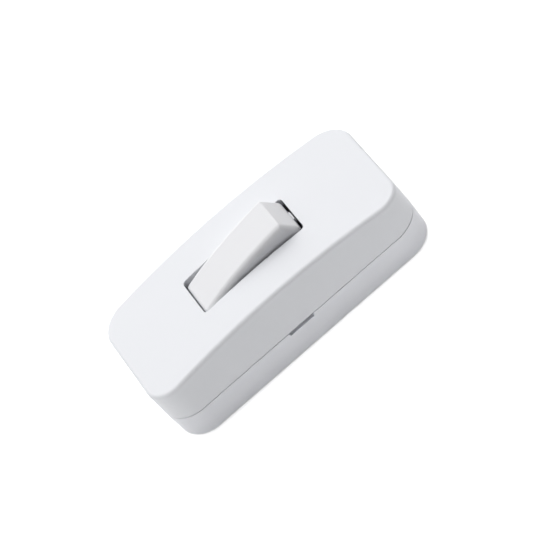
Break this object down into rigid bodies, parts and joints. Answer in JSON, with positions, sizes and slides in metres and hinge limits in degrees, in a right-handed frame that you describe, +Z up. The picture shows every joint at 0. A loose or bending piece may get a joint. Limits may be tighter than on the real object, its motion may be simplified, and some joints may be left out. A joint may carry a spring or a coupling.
{
  "type": "inline cord switch",
  "caption": "White inline switch for a flexible lead: a snap-together housing with an arched cover, a long rocker across its middle and a cord inlet at each end.",
  "frame": {"origin": "middle of the housing's flat underside", "axes": "+X along the housing towards the raised end of the rocker, +Z up through the rocker, and the side with the screwdriver slot faces -Y"},
  "size_m": [0.07, 0.035, 0.0223],
  "materials": {
    "cover_white": "satin moulded",
    "tray_white": "satin moulded",
    "rocker_white": "smooth moulded",
    "natural_plastic": "smooth moulded",
    "spring_steel": "drawn wire",
    "screw_steel": "zinc plated",
    "contact_silver": "silver faced",
    "brass": "stamped and drawn"
  },
  "bodies": {
    "housing": {"top_cover": "cover_white", "base_tray": "tray_white", "fixed_contact": "contact_silver", "contact_strip": "brass", "pivot_bracket": "brass", "line_in_terminal": "brass", "line_out_terminal": "brass", "line_in_screw": "screw_steel", "line_out_screw": "screw_steel", "neutral_link": "brass", "neutral_screws": "screw_steel", "earth_link": "brass", "earth_screws": "screw_steel", "cord_clamp_left": "natural_plastic", "cord_clamp_right": "natural_plastic", "clamp_screws_left": "screw_steel", "clamp_screws_right": "screw_steel"},
    "rocker": {"rocker": "rocker_white", "plunger_spring": "spring_steel"},
    "plunger": {"plunger": "natural_plastic"},
    "contact_lever": {"see_saw": "brass", "moving_contact": "contact_silver"}
  },
  "joints": [
    {"name": "rocker_pivot", "type": "hinge", "parent": "housing", "child": "rocker", "pos_m": [0, 0, 0.0113], "axis": [0, 1, 0], "range_deg": [0, 23.2]},
    {"name": "plunger_slide", "type": "slide", "parent": "rocker", "child": "plunger", "axis": [-0.2011, 0, 0.9796], "range_m": [0, 0.0004], "stiffness_N_per_m": 250, "springref_m": -0.0015, "deforming": ["plunger_spring"]},
    {"name": "lever_pivot", "type": "hinge", "parent": "housing", "child": "contact_lever", "pos_m": [0, 0, 0.0052], "axis": [0, 1, 0], "range_deg": [-11.6, 0]}
  ],
  "couplings": [
    {"joint": "lever_pivot", "follows": "rocker_pivot", "ratio": -0.5}
  ]
}
